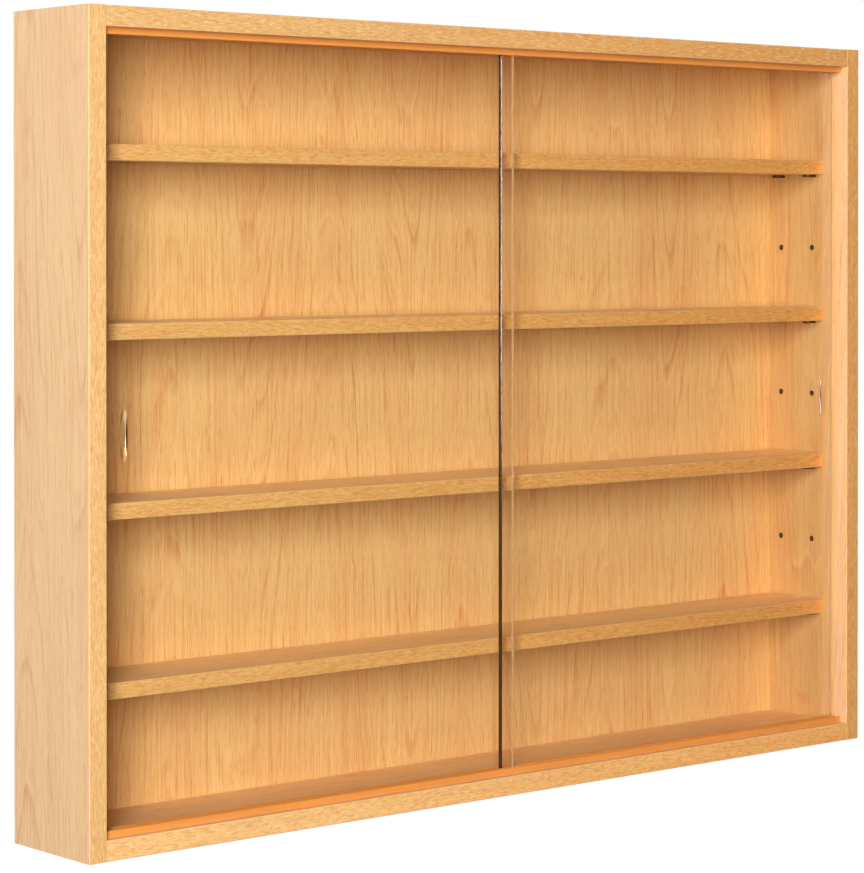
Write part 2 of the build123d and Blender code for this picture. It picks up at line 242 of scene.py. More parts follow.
# Shader maths
class Shade:
    """A socket of a material's nodes that takes part in arithmetic as a number does."""

    def __init__(self, tree, socket):
        self.tree = tree
        self.socket = socket

    def node(self, kind, settings=None, values=None, output=0):
        """A new node: its settings go in first, then the values or links of its sockets."""
        made = self.tree.nodes.new(kind)
        for name, value in (settings or {}).items():
            setattr(made, name, value)
        for name, value in (values or {}).items():
            if isinstance(value, Shade):
                self.tree.links.new(value.socket, made.inputs[name])
            else:
                made.inputs[name].default_value = value
        return Shade(self.tree, made.outputs[output]) if made.outputs else None

    def output(self, name):
        """Another output of the same node."""
        return Shade(self.tree, self.socket.node.outputs[name])

    def maths(self, operation, *values):
        """A Math node on this value and others."""
        return self.node("ShaderNodeMath", {"operation": operation}, dict(enumerate((self, *values))))

    def __add__(self, other):
        return self.maths("ADD", other)

    __radd__ = __add__

    def __sub__(self, other):
        return self.maths("SUBTRACT", other)

    def __rsub__(self, other):
        return self.node("ShaderNodeMath", {"operation": "SUBTRACT"}, {0: other, 1: self})

    def __mul__(self, other):
        return self.maths("MULTIPLY", other)

    __rmul__ = __mul__

    def __truediv__(self, other):
        return self.maths("DIVIDE", other)

    def smooth(self, low, high):
        """From 0 at low to 1 at high, with a soft start and end."""
        return self.node(
            "ShaderNodeMapRange",
            {"interpolation_type": "SMOOTHSTEP"},
            {"Value": self, "From Min": low, "From Max": high},
        )

    def blend(self, low_colour, high_colour):
        """The first colour where this value is 0, the second where it is 1."""
        return self.node(
            "ShaderNodeMix",
            {"data_type": "RGBA", "clamp_factor": True},
            {0: self, 6: opaque(low_colour), 7: opaque(high_colour)},
            output=2,
        )


def opaque(value):
    """A colour with its alpha, or the socket as it is."""
    return value if isinstance(value, Shade) else (*tuple(value)[:3], 1.0)


def shaded(tint, light):
    """A colour at a share of its lightness."""
    return [value * light for value in tint]


def lay_over(shown, layers, weight=1.0):
    """Blends layers over a colour in turn: each is a mask from 0 to 1, its strength and its colour."""
    for mask, strength, tint in layers:
        shown = (mask * (weight * strength)).blend(shown, tint)
    return shown


class Finish:
    """A material in the making, whose marks lie on the object's own coordinates."""

    def __init__(self, name):
        self.material = bpy.data.materials.new(name)
        self.material.use_nodes = True
        self.tree = self.material.node_tree
        self.tree.nodes.clear()
        start = Shade(self.tree, None)
        self.place = start.node("ShaderNodeTexCoord", output="Object")
        axes = self.place.node("ShaderNodeSeparateXYZ", values={"Vector": self.place})
        self.axes = [axes.output(name) for name in "XYZ"]

    def fibre(self, grain, across, along, seed=0.0, detail=2.0, roughness=0.5):
        """Noise from 0 to 1 whose marks measure about across by along, drawn out on the grain axis."""
        scale = [1 / across] * 3
        scale[grain] = 1 / along
        place = self.place.node(
            "ShaderNodeMapping",
            values={"Vector": self.place, "Location": (seed, seed, seed), "Scale": scale},
        )
        return place.node(
            "ShaderNodeTexNoise",
            {"noise_dimensions": "3D"},
            {"Vector": place, "Scale": 1.0, "Detail": detail, "Roughness": roughness},
        )

    def sway(self, grain, across, along, seed, together=3 * MM):
        """Shifts the coordinates of what is made next by up to half of across.

        The waves are about along long, and fibres that lie within about together share them.
        """
        wander = (self.fibre(grain, together, along, seed) - 0.5) * across
        shift = wander.node("ShaderNodeCombineXYZ", values={0: wander, 1: wander, 2: wander})
        self.place = shift.node("ShaderNodeVectorMath", {"operation": "ADD"}, {0: self.place, 1: shift})

    def grit(self, size, seed=0.0, detail=2.0):
        """Even noise from 0 to 1 whose marks measure about size each way."""
        return self.fibre(X, size, size, seed, detail)

    def cells(self, size, stretch=(1.0, 1.0, 1.0)):
        """A random value for each of many cells of about that size."""
        scale = [factor / size for factor in stretch]
        place = self.place.node("ShaderNodeMapping", values={"Vector": self.place, "Scale": scale})
        found = place.node(
            "ShaderNodeTexVoronoi", {"feature": "F1"}, {"Vector": place, "Scale": 1.0}, output="Color"
        )
        return found.node("ShaderNodeSeparateColor", values={"Color": found})

    def bump(self, height, distance=RELIEF):
        """A normal from a height of 0 to 1 that stands for the distance."""
        values = {"Height": height, "Distance": distance}
        return height.node("ShaderNodeBump", values=values, output="Normal")

    def principled(self, **values):
        """The Principled shader with these sockets, whose names are written with underscores."""
        sockets = {name.replace("_", " "): value for name, value in values.items()}
        sockets["Base Color"] = opaque(sockets["Base Color"])
        return self.place.node("ShaderNodeBsdfPrincipled", values=sockets)

    def show(self, shader):
        """Ends the material with this shader."""
        shader.node("ShaderNodeOutputMaterial", values={"Surface": shader})
        return self.material

    def paint(self, **values):
        """Ends the material with a Principled shader that has these sockets."""
        return self.show(self.principled(**values))


# Wood finishes
def on_planes(finish, axis, places):
    """1 on the planes at those places of an axis, 0 elsewhere."""
    tolerance = 0.1 * MM
    found = [finish.axes[axis].maths("COMPARE", place, tolerance) for place in places]
    return sum(found[1:], found[0])


def growth(finish, wood, grain, across, seed):
    """Growth rings: a cosine over the width plus a slope along the grain, which gives pointed arches.

    Whole numbers of the result are rings, and its lines of equal value are the way the fibres run. The
    cosine sways sideways by up to half of wander, and the rings drift by up to half of their gap.
    """
    wander, wander_reach = 0.09, 0.6
    drift_width, drift_reach = 0.025, 0.25
    sway = finish.fibre(grain, wander, wander_reach, seed) - 0.5
    drift = finish.fibre(grain, drift_width, drift_reach, seed + 5.0) - 0.5
    turn = (finish.axes[across] + sway * wander) * (2 * math.pi / wood.figure_width) + seed
    bend = wood.figure_width / (2 * math.pi * wood.ring_gap)
    return turn.maths("COSINE") * bend + finish.axes[grain] / wood.ring_reach + drift


def along_rings(finish, rings, grain, width, reach, seed, detail=2.0):
    """Noise from 0 to 1 whose marks follow the rings: width is a share of a ring, reach a length."""
    place = rings.node(
        "ShaderNodeCombineXYZ", values={0: rings / width, 1: finish.axes[grain] / reach, 2: seed}
    )
    return place.node("ShaderNodeTexNoise", values={"Vector": place, "Scale": 1.0, "Detail": detail})


def printed_beech(finish, wood, grain, across, ground, blush, seed, contrast):
    """Colour, roughness and relief of beech print.

    Streaks, growth lines, dark fibres, pale threads and flecks lie over broad bands of the two main
    colours, and contrast weighs them all.
    """
    rings = growth(finish, wood, grain, across, seed)
    phase = rings.maths("FRACT")
    presence = finish.fibre(grain, 0.04, 0.12, seed + 9.0).smooth(0.4, 0.6)
    line = phase.smooth(0.74, 0.95) * (1 - phase.smooth(0.95, 1.0)) * presence
    broad = finish.fibre(grain, 0.03, 0.3, seed + 1.0, detail=1.0).smooth(0.35, 0.65)
    streaks = along_rings(finish, rings, grain, 0.2, 0.2, seed + 4.0)
    pale = along_rings(finish, rings, grain, 0.12, 0.08, seed + 6.0, detail=1.0).smooth(0.5, 0.7)
    plain = finish.place
    finish.sway(grain, 1.4 * MM, 14 * MM, seed + 7.0)
    fibres = finish.fibre(grain, 0.75 * MM, 0.09, seed + 2.0, detail=1.0, roughness=0.6)
    threads = finish.fibre(grain, 0.7 * MM, 0.07, seed + 8.0, detail=1.0).smooth(0.5, 0.66)
    flecks = finish.fibre(grain, 0.6 * MM, 14 * MM, seed + 3.0, detail=1.0).smooth(0.57, 0.7)
    finish.place = plain
    layers = (
        (streaks.smooth(0.48, 0.74), 0.45, wood.vein),
        (pale, 1.0, wood.pale),
        (line * fibres.smooth(0.28, 0.5), 1.5, wood.vein),
        (fibres.smooth(0.5, 0.68), 1.5, wood.vein),
        (threads, 1.3, wood.pale),
        (flecks, 0.9, wood.fleck),
    )
    shown = lay_over(broad.blend(ground, blush), layers, contrast)
    rough = 0.5 - fibres * 0.1 + flecks * 0.1
    relief = 1 - fibres * 0.4 - flecks * 0.6
    return shown, rough, relief


def chipboard(finish, wood):
    """Colour and relief of a raw board edge: pressed chips of mixed size and shade."""
    coarse = finish.cells(2.6 * MM, (1.0, 1.6, 1.0))
    fine = finish.cells(0.9 * MM)
    shown = (coarse * 0.6 + fine * 0.4).blend(wood.chip_dark, wood.chip_light)
    return shown, coarse * 0.5 + fine * 0.5


def laminated_board(wood, node, grain, seed, skins, tones, inner, painted_shade_tones):
    """Beech print on the named planes of a board, raw chipboard on every other face and in every bore.

    tones are the print's two colours. The face at the place inner of the board's thinnest axis has its
    own two, the painted shade tones, which come in between two distances behind the front: painted
    shade.
    """
    finish = Finish(f"{node}_laminate")
    low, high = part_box(node)
    thin = min(range(3), key=lambda axis: high[axis] - low[axis])
    across = ({X, Y, Z} - {thin, grain}).pop()
    # Painted shade: the inner face darkens from 8 to 18 mm behind the front onwards
    start, full = low[Y] + 8 * MM, low[Y] + 18 * MM
    behind = on_planes(finish, thin, (inner,)) * finish.axes[Y].smooth(start, full)
    tones = [behind.blend(outer, inside) for outer, inside in zip(tones, painted_shade_tones)]
    shown, rough, relief = printed_beech(finish, wood, grain, across, *tones, seed, contrast=0.22)
    core, chips = chipboard(finish, wood)
    core_rough, core_relief, sheen = 0.85, 4.0, 0.12
    skin = sum(on_planes(finish, axis, (low[axis], high[axis])) for axis in skins).smooth(0.0, 1.0)
    return finish.paint(
        Base_Color=skin.blend(core, shown),
        Roughness=core_rough - skin * (core_rough + sheen - rough),
        Specular_IOR_Level=0.22,
        Normal=finish.bump(skin * relief + (1 - skin) * chips * core_relief),
    )


def back_board(wood, seed):
    """Beech print on the face that looks into the case, raw hardboard behind."""
    finish = Finish("back_print")
    tones = wood.back_ground, wood.back_blush
    shown, rough, relief = printed_beech(finish, wood, Z, X, *tones, seed, contrast=0.28)
    pressed = finish.grit(1.6 * MM, detail=4.0)
    raw = pressed.smooth(0.3, 0.75).blend(shaded(wood.hardboard, 0.72), wood.hardboard)
    raw_rough, raw_relief = 0.8, 2.0
    skin = on_planes(finish, Y, (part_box("back_panel")[0][Y],))
    return finish.paint(
        Base_Color=skin.blend(raw, shown),
        Roughness=raw_rough - skin * (raw_rough - rough),
        Specular_IOR_Level=0.12,
        Normal=finish.bump(skin * relief + (1 - skin) * pressed * raw_relief),
    )


def band_strip(wood, node, seed, ground, deep):
    """Edge band print: long wavy dashes, dark and pale, along the strip, and a painted highlight along
    the long corners.

    Its main colour goes from ground at the case's left to deep at its right: painted shade, darker
    where less lamp light falls.
    """
    finish = Finish(f"{node}_print")
    low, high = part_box(node)
    grain, across = sorted((X, Z), key=lambda axis: low[axis] - high[axis])
    plain = finish.place
    finish.sway(grain, 1.7 * MM, 8 * MM, seed)
    dashes = finish.fibre(grain, 0.85 * MM, 8 * MM, seed + 1.0, detail=1.0).smooth(0.5, 0.62)
    fine = finish.fibre(grain, 0.55 * MM, 5 * MM, seed + 2.0, detail=1.0).smooth(0.54, 0.68)
    pale = finish.fibre(grain, 0.75 * MM, 7 * MM, seed + 4.0, detail=1.0).smooth(0.52, 0.64)
    finish.place = plain
    broad = finish.fibre(grain, 6 * MM, 0.12, seed + 3.0).smooth(0.35, 0.65)
    # Painted highlight along the long corners
    corner = 1.1 * MM
    start, end = low[across], high[across]
    over = finish.axes[across]
    corner_highlight = 1 - over.smooth(start, start + corner) * (1 - over.smooth(end - corner, end))
    layers = (
        (broad, 0.12, wood.vein),
        (pale, 0.5, wood.pale),
        (dashes, 0.34, wood.vein),
        (fine, 0.22, wood.fleck),
        (corner_highlight, 0.5, wood.band_corner_highlight),
    )
    # Painted shade: darker towards the case's right
    drift = finish.axes[X].smooth(CAD_BOX[0][X], CAD_BOX[1][X])
    return finish.paint(
        Base_Color=lay_over(drift.blend(ground, deep), layers),
        Roughness=0.42 + dashes * 0.1,
        Specular_IOR_Level=0.2,
        Normal=finish.bump(1 - dashes * 0.5 - fine * 0.5),
    )


# Other finishes
def track_plastic(name, tint):
    """Extruded plastic with fine drawing lines along the track."""
    finish = Finish(name)
    drawn = finish.fibre(X, 0.35 * MM, 0.4, detail=3.0)
    cloud = finish.fibre(X, 4 * MM, 0.05).smooth(0.3, 0.7)
    return finish.paint(
        Base_Color=cloud.blend(shaded(tint, 0.93), tint),
        Roughness=0.34 + drawn * 0.14,
        Normal=finish.bump(drawn, 0.02 * MM),
    )


def moulded_plastic(name, tint):
    """Moulded plastic with a fine even grain."""
    finish = Finish(name)
    grain = finish.grit(0.3 * MM, detail=3.0)
    cloud = finish.grit(2 * MM).smooth(0.3, 0.7)
    return finish.paint(
        Base_Color=cloud.blend(shaded(tint, 0.8), tint),
        Roughness=0.36 + grain * 0.2,
        Normal=finish.bump(grain, 0.02 * MM),
    )


def cast_zinc(name, tint):
    """Die-cast zinc: dull, cloudy, slightly pitted."""
    finish = Finish(name)
    cloud = finish.grit(1.8 * MM, detail=4.0)
    pits = finish.grit(0.35 * MM).smooth(0.62, 0.72)
    return finish.paint(
        Base_Color=cloud.smooth(0.3, 0.7).blend(shaded(tint, 0.75), tint),
        Metallic=1.0,
        Roughness=0.45 + cloud * 0.2,
        Normal=finish.bump(1 - pits, 0.03 * MM),
    )


def plated_steel(name, tint, grain):
    """Zinc-plated steel with rolling marks along its grain and a faint blotchy passivation."""
    finish = Finish(name)
    rolled = finish.fibre(grain, 0.12 * MM, 6 * MM, detail=3.0)
    blotch = finish.grit(3 * MM, detail=3.0).smooth(0.35, 0.7)
    return finish.paint(
        Base_Color=blotch.blend(tint, [tint[0] * 0.95, tint[1] * 0.9, tint[2] * 0.78]),
        Metallic=1.0,
        Roughness=0.26 + rolled * 0.2,
        Normal=finish.bump(rolled, 0.01 * MM),
    )


def plain_beech(name, tint):
    """Turned beech: pores and flecks along the dowel."""
    finish = Finish(name)
    pores = finish.fibre(X, 0.25 * MM, 2.5 * MM).smooth(0.5, 0.7)
    bands = finish.fibre(X, 1.5 * MM, 0.03).smooth(0.3, 0.7)
    shown = bands.blend(shaded(tint, 0.85), tint)
    return finish.paint(
        Base_Color=lay_over(shown, [(pores, 0.4, shaded(tint, 0.5))]),
        Roughness=0.6 + pores * 0.15,
        Normal=finish.bump(1 - pores),
    )


def clear_glass(name, tint, face_loss):
    """Float glass: it bends and mirrors light, and lets lamp and bounce light through unbent.

    Each of a pane's two faces takes the square root of the tint and the face loss from that light.
    """
    finish = Finish(name)
    wipe = finish.grit(0.05, detail=3.0).smooth(0.4, 0.8)
    body = finish.principled(Base_Color=tint, Roughness=wipe * 0.012, IOR=1.5, Transmission_Weight=1.0)
    passed = opaque([value ** 0.5 * (1 - face_loss) for value in tint])
    window = body.node("ShaderNodeBsdfTransparent", values={"Color": passed})
    path = body.node("ShaderNodeLightPath", output="Is Shadow Ray")
    through = path.maths("MAXIMUM", path.output("Is Diffuse Ray"))
    return finish.show(body.node("ShaderNodeMixShader", values={0: through, 1: body, 2: window}))


def ground_glass(name, tint, roughness, matt):
    """Ground glass: its grit scatters a share matt of the light, and the rest goes through, blurred."""
    finish = Finish(name)
    grit = finish.grit(0.3 * MM, detail=2.0)
    body = finish.principled(Base_Color=tint, Roughness=roughness, IOR=1.5, Transmission_Weight=1.0)
    shown = grit.smooth(0.3, 0.7).blend(shaded(tint, 0.8), tint)
    scatter = finish.principled(Base_Color=shown, Roughness=0.8, Specular_IOR_Level=0.0)
    return finish.show(body.node("ShaderNodeMixShader", values={0: matt, 1: body, 2: scatter}))


# Meshes
def put_in_scene(name, data):
    """A new object in the scene, at the origin, with this data."""
    made = bpy.data.objects.new(name, data)
    bpy.context.scene.collection.objects.link(made)
    return made


def closed_rings(name, rings, band_finishes, materials, smooth):
    """An object from rings of points: each joins the next, and the first and last close on a point.

    rings is an array of ring by point by xyz, whose first and last rings each hold one repeated point.
    band_finishes and smooth give each band between two rings its material's number and its shading.
    """
    count, around = rings.shape[:2]
    body = rings[1:-1].reshape(-1, 3)
    points = np.vstack([rings[0, :1], body, rings[-1, :1]])
    step = np.arange(around)
    following = (step + 1) % around
    first = 1 + np.arange(count - 3)[:, None] * around
    quads = np.stack(
        [first + step, first + following, first + around + following, first + around + step], axis=-1
    ).reshape(-1, 4)
    last = 1 + (count - 3) * around
    start = np.stack([np.zeros_like(step), 1 + following, 1 + step], axis=-1)
    end = np.stack([last + step, last + following, np.full_like(step, len(points) - 1)], axis=-1)
    mesh = bpy.data.meshes.new(name)
    mesh.from_pydata(points.tolist(), [], quads.tolist() + start.tolist() + end.tolist())
    for material in materials:
        mesh.materials.append(material)
    band_of_face = np.concatenate(
        [np.repeat(np.arange(1, count - 2), around), np.zeros(around, int), np.full(around, count - 2)]
    )
    mesh.polygons.foreach_set("material_index", np.asarray(band_finishes)[band_of_face])
    mesh.set_sharp_from_angle(angle=SHARP_TURN)
    mesh.polygons.foreach_set("use_smooth", np.asarray(smooth)[band_of_face])
    mesh.update()
    return put_in_scene(name, mesh)


def pane_rings(glass, low, high, outer_side):
    """Rings of a pane from the middle of its grip to the middle of its rear face.

    The grip's walls are a ring surface: at x and z from its middle it lies
    sink - R + sqrt((R - r + sqrt(r^2 - x^2))^2 - z^2) behind the face, where r and R are the radii of
    the arcs across and along the grip, and sink is how deep they would go. The grip's rings are that
    surface's contours, from its flat floor up to its rim in even steps of slope. Outside the rim the
    rings spread evenly to the pane's outline, go over the arris, along the edge and back in behind.
    """
    half_width, half_height, sink = glass.grip_width / 2, glass.grip_height / 2, glass.grip_arc_sink
    across = (half_width ** 2 + sink ** 2) / (2 * sink)
    along = (half_height ** 2 + sink ** 2) / (2 * sink)
    middle_x = (high[X] if outer_side > 0 else low[X]) - outer_side * glass.grip_inset
    middle_z = (low[Z] + high[Z]) / 2 - glass.grip_drop
    front, rear = low[Y], high[Y]
    step = np.arange(PANE_POINTS)
    turn = step * 2 * math.pi / PANE_POINTS

    def contour(slope):
        depth = across * math.cos(slope) - across + sink
        x = across * math.sin(slope) * np.sin(turn)
        reach = along - across + np.sqrt(np.maximum(across ** 2 - x ** 2, 0))
        z = np.sqrt(np.maximum(reach ** 2 - (along - sink + depth) ** 2, 0)) * np.sign(np.cos(turn))
        return np.stack([middle_x + x, np.full(PANE_POINTS, front + depth), middle_z + z], axis=-1)

    def outline(inset, y):
        left, right = low[X] + inset, high[X] - inset
        bottom, top = low[Z] + inset, high[Z] - inset
        corners = np.linspace(0, PANE_POINTS, 9)
        x = np.interp(step, corners, [middle_x, *[right] * 3, middle_x, *[left] * 3, middle_x])
        z = np.interp(step, corners, [top, top, middle_z, *[bottom] * 3, middle_z, top, top])
        return np.stack([x, np.full(PANE_POINTS, y), z], axis=-1)

    def centre(y):
        return np.tile([middle_x, y, middle_z], (PANE_POINTS, 1))

    floor_slope = math.acos((across - sink + glass.grip_depth) / across)
    rim_slope = math.acos((across - sink) / across)
    rings = [
        centre(front + glass.grip_depth),
        *(contour(slope) for slope in np.linspace(floor_slope, rim_slope, WALL_STEPS + 1)),
        outline(glass.arris, front),
        outline(0.0, front + glass.arris),
        outline(0.0, rear - glass.arris),
        outline(glass.arris, rear),
        centre(rear),
    ]
    band_finishes = [CLEAR] * (WALL_STEPS + 2) + [ARRIS, EDGE, ARRIS, CLEAR]
    smooth = [False] + [True] * WALL_STEPS + [False] * 5
    return np.array(rings), band_finishes, smooth


def finish_pane(pane, steep, wall_finish):
    """Gives the edge and arrises that face right a paler finish, painted light, and the grip's steep
    walls a darker one, painted shade.

    steep is the sine of the slope from which a wall is ground, which its normal then points sideways.
    """
    polygons = pane.data.polygons
    normals, finishes = np.empty(len(polygons) * 3), np.empty(len(polygons), int)
    polygons.foreach_get("normal", normals)
    polygons.foreach_get("material_index", finishes)
    sideways = normals[::3]
    clear = finishes == CLEAR
    # Painted light on the edges and arrises that face right
    finishes[(sideways > 0.5) & ~clear] = RIGHT_EDGE_PAINTED_LIGHT
    # Painted shade on the grip's steep walls
    finishes[(np.abs(sideways) > steep) & clear] = wall_finish
    polygons.foreach_set("material_index", finishes)


def peg_rings(fittings, wall_x, y, height, side):
    """Rings of a shelf peg along its length, from the pin's tip to the paddle's tip.

    Each ring is |y / a|^n + |z / b|^n = 1: round on the pin, and flat with soft corners on the paddle,
    whose half width follows a circle towards its tip. The ends close on a point, and the corners of
    the pin's tip and of the paddle's foot are drawn in.
    """
    pin, reach = fittings.pin_radius, fittings.pin_reach
    half, depth = fittings.paddle_half, fittings.paddle_depth
    paddle, soft = 2 * half, PEG_CORNER
    pin_rings, tip_rings = 4, 7
    round_power, flat_power = 2.0, 5.0
    outs = np.concatenate([
        [-reach, -reach, -reach + soft, 0.0],
        [0.0, soft * 0.3, soft],
        np.linspace(half, paddle - soft * 0.2, tip_rings),
        [paddle],
    ])
    pin_part = np.arange(len(outs)) < pin_rings
    flat_y = np.minimum(np.sqrt(np.maximum(half ** 2 - np.maximum(outs - half, 0) ** 2, 0)), half)
    a = np.where(pin_part, pin, flat_y)
    b = np.where(pin_part, pin, depth / 2)
    a[[0, -1]] = b[[0, -1]] = 0.0
    a[1] = b[1] = pin - soft
    a[pin_rings] = half - soft
    b[pin_rings] = depth / 2 - soft * 0.6
    centre = np.where(pin_part, height, height - depth / 2)
    turn = np.arange(PEG_POINTS) * 2 * math.pi / PEG_POINTS
    cos, sin = np.cos(turn)[None], np.sin(turn)[None]
    exponent = 2 / np.where(pin_part, round_power, flat_power)[:, None]
    ys = a[:, None] * np.sign(cos) * np.abs(cos) ** exponent
    zs = b[:, None] * np.sign(sin) * np.abs(sin) ** exponent
    xs = np.broadcast_to((wall_x - side * outs)[:, None], ys.shape)
    rings = np.stack([xs, y + ys, centre[:, None] + zs], axis=-1)
    return rings if side > 0 else rings[:, ::-1]


def outward(made):
    """Turns a closed piece's faces outwards: its volume, summed over its faces, is then positive."""
    mesh = made.data
    points = np.empty(len(mesh.vertices) * 3)
    mesh.vertices.foreach_get("co", points)
    points = points.reshape(-1, 3)
    mesh.calc_loop_triangles()
    corners = np.empty(len(mesh.loop_triangles) * 3, int)
    mesh.loop_triangles.foreach_get("vertices", corners)
    a, b, c = points[corners.reshape(-1, 3)].swapaxes(0, 1)
    if np.einsum("ij,ij->", a, np.cross(b, c)) < 0:
        mesh.flip_normals()
    return made


def wear(node, material):
    """Gives a CAD node its finish."""
    for slot in NODES[node].material_slots:
        slot.material = material


def lengthwise_boards(wood, nodes, first_seed, seed_step, tones):
    """Lengthwise laminate on boards: each has its own seed, and the lower faces take darker tones as
    painted shade.
    """
    under_shade_tones = wood.under_shade_ground, wood.under_shade_blush
    for number, node in enumerate(nodes):
        seed, under = first_seed + seed_step * number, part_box(node)[0][Z]
        # Painted shade: the lower face takes the darker tones
        wear(node, laminated_board(wood, node, X, seed, (Z,), tones, under, under_shade_tones))


# One operator for each piece or group of like pieces
class SidePanels(Operator):
    """Finish the two side panels with upright beech laminate"""

    bl_idname = "display_case.side_panels"
    bl_label = "Side panels"

    def execute(self, context):
        wood = context.scene.case_wood
        tones = wood.panel_ground, wood.panel_blush
        # Painted shade: the inner faces behind the panes take these darker tones
        painted_shade_tones = wood.inner_shade_ground, wood.inner_shade_blush
        nodes = "left_side_panel", "right_side_panel"
        inner_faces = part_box("left_side_panel")[1][X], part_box("right_side_panel")[0][X]
        for number, (node, inner) in enumerate(zip(nodes, inner_faces)):
            seed = 3.7 + 5 * number
            wear(node, laminated_board(wood, node, Z, seed, (X, Z), tones, inner, painted_shade_tones))
        return {"FINISHED"}


class CrossPanels(Operator):
    """Finish the top and bottom panels with lengthwise beech laminate"""

    bl_idname = "display_case.cross_panels"
    bl_label = "Top and bottom panels"

    def execute(self, context):
        wood = context.scene.case_wood
        tones = wood.panel_ground, wood.panel_blush
        nodes = "top_panel", "bottom_panel"
        lengthwise_boards(wood, nodes, first_seed=21.3, seed_step=5, tones=tones)
        return {"FINISHED"}


class BackPanel(Operator):
    """Finish the back with printed beech in front and raw hardboard behind"""

    bl_idname = "display_case.back_panel"
    bl_label = "Back panel"

    def execute(self, context):
        wear("back_panel", back_board(context.scene.case_wood, seed=1.9))
        return {"FINISHED"}


class EdgeBands(Operator):
    """Finish every edge band with its wavy print"""

    bl_idname = "display_case.edge_bands"
    bl_label = "Edge bands"

    def execute(self, context):
        wood = context.scene.case_wood
        case_tones = wood.band_ground, wood.band_right_shade
        shelf_tones = wood.lip_ground, wood.lip_right_shade
        # Painted light and shade: each band's lightness by where it sits on the case
        shares = dict(zip(("left", "top", "right", "bottom"), wood.band_painted_light_shares))
        bands = sorted(node for node in NODES if node.endswith("_edge_band"))
        for number, node in enumerate(bands):
            light = shares.get(node.split("_")[0], 1.0)
            tones = shelf_tones if node.startswith("shelf") else case_tones
            ground, deep = (shaded(tint, light) for tint in tones)
            wear(node, band_strip(wood, node, 2.3 * number, ground, deep))
        return {"FINISHED"}


class Shelves(Operator):
    """Finish the loose shelves with lengthwise beech laminate"""

    bl_idname = "display_case.shelves"
    bl_label = "Shelves"

    def execute(self, context):
        wood = context.scene.case_wood
        tones = wood.shelf_ground, wood.shelf_blush
        lengthwise_boards(wood, SHELVES, first_seed=40.1, seed_step=3, tones=tones)
        return {"FINISHED"}


class DoorTracks(Operator):
    """Finish the two door tracks"""

    bl_idname = "display_case.door_tracks"
    bl_label = "Door tracks"

    def execute(self, context):
        plastic = track_plastic("track_plastic", context.scene.case_fittings.track)
        for node in ("top_track", "bottom_track"):
            wear(node, plastic)
        return {"FINISHED"}


class GlassDoors(Operator):
    """Fit the two glass doors with their scooped grips"""

    bl_idname = "display_case.glass_doors"
    bl_label = "Glass doors"

    def execute(self, context):
        glass = context.scene.case_glass
        materials = [
            clear_glass("pane_glass", glass.clear, glass.face_loss),
            # Painted shade on edges, arrises and grip walls; painted light on edges that face right
            ground_glass("pane_edge", glass.edge, roughness=0.5, matt=0.6),
            ground_glass("pane_arris", glass.edge, roughness=0.12, matt=0.3),
            ground_glass("grip_wall_painted_shade", glass.grip_painted_shade, roughness=0.5, matt=0.9),
            ground_glass("pane_edge_painted_light", glass.edge_painted_light, roughness=0.5, matt=0.6),
        ]
        steep = math.sin(glass.ground_slope)
        # The left grip's steep walls take painted shade, the right grip's the arris finish
        for side, outer_side, wall_finish in (("left", -1, GRIP_PAINTED_SHADE), ("right", 1, ARRIS)):
            node = f"{side}_glass_door"
            rings, band_finishes, smooth = pane_rings(glass, *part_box(node), outer_side)
            pane = outward(closed_rings(f"{side}_pane", rings, band_finishes, materials, smooth))
            finish_pane(pane, steep, wall_finish)
            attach(pane, f"{side}_door")
            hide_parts(node)
        return {"FINISHED"}


class ShelfPegs(Operator):
    """Fit the sixteen moulded shelf pegs"""

    bl_idname = "display_case.shelf_pegs"
    bl_label = "Shelf pegs"

    def execute(self, context):
        fittings = context.scene.case_fittings
        material = moulded_plastic("peg_plastic", fittings.peg)
        low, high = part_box("shelf_pegs")
        columns = low[Y] + fittings.paddle_half, high[Y] - fittings.paddle_half
        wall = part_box("right_side_panel")[0][X]
        parts = []
        for shelf in SHELVES:
            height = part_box(shelf)[0][Z]
            for side in (-1, 1):
                for y in columns:
                    rings = peg_rings(fittings, side * wall, y, height, side)
                    bands = len(rings) - 1
                    peg = closed_rings("peg", rings, [0] * bands, [material], [True] * bands)
                    parts.append(outward(peg))
        pegs = parts[0]
        with context.temp_override(active_object=pegs, selected_editable_objects=parts):
            bpy.ops.object.join()
        pegs.name = pegs.data.name = "moulded_pegs"
        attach(pegs, "carcass")
        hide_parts("shelf_pegs")
        return {"FINISHED"}


class CornerFittings(Operator):
    """Finish the cams, their bolts and the dowels"""

    bl_idname = "display_case.corner_fittings"
    bl_label = "Corner fittings"

    def execute(self, context):
        fittings = context.scene.case_fittings
        wear("cam_locks", cast_zinc("cam_zinc", fittings.zinc))
        wear("cam_bolts", plated_steel("bolt_steel", fittings.steel, X))
        wear("wood_dowels", plain_beech("dowel_beech", fittings.dowel))
        return {"FINISHED"}


class Hangers(Operator):
    """Finish the keyhole hanger plates, their screws and the back's pins"""

    bl_idname = "display_case.hangers"
    bl_label = "Hangers and back pins"

    def execute(self, context):
        fittings = context.scene.case_fittings
        plate = plated_steel("hanger_steel", fittings.steel, Z)
        turned = plated_steel("screw_steel", fittings.steel, Y)
        for node in ("left_hanger_plate", "right_hanger_plate"):
            wear(node, plate)
        for node in ("hanger_screws", "back_panel_pins"):
            wear(node, turned)
        return {"FINISHED"}


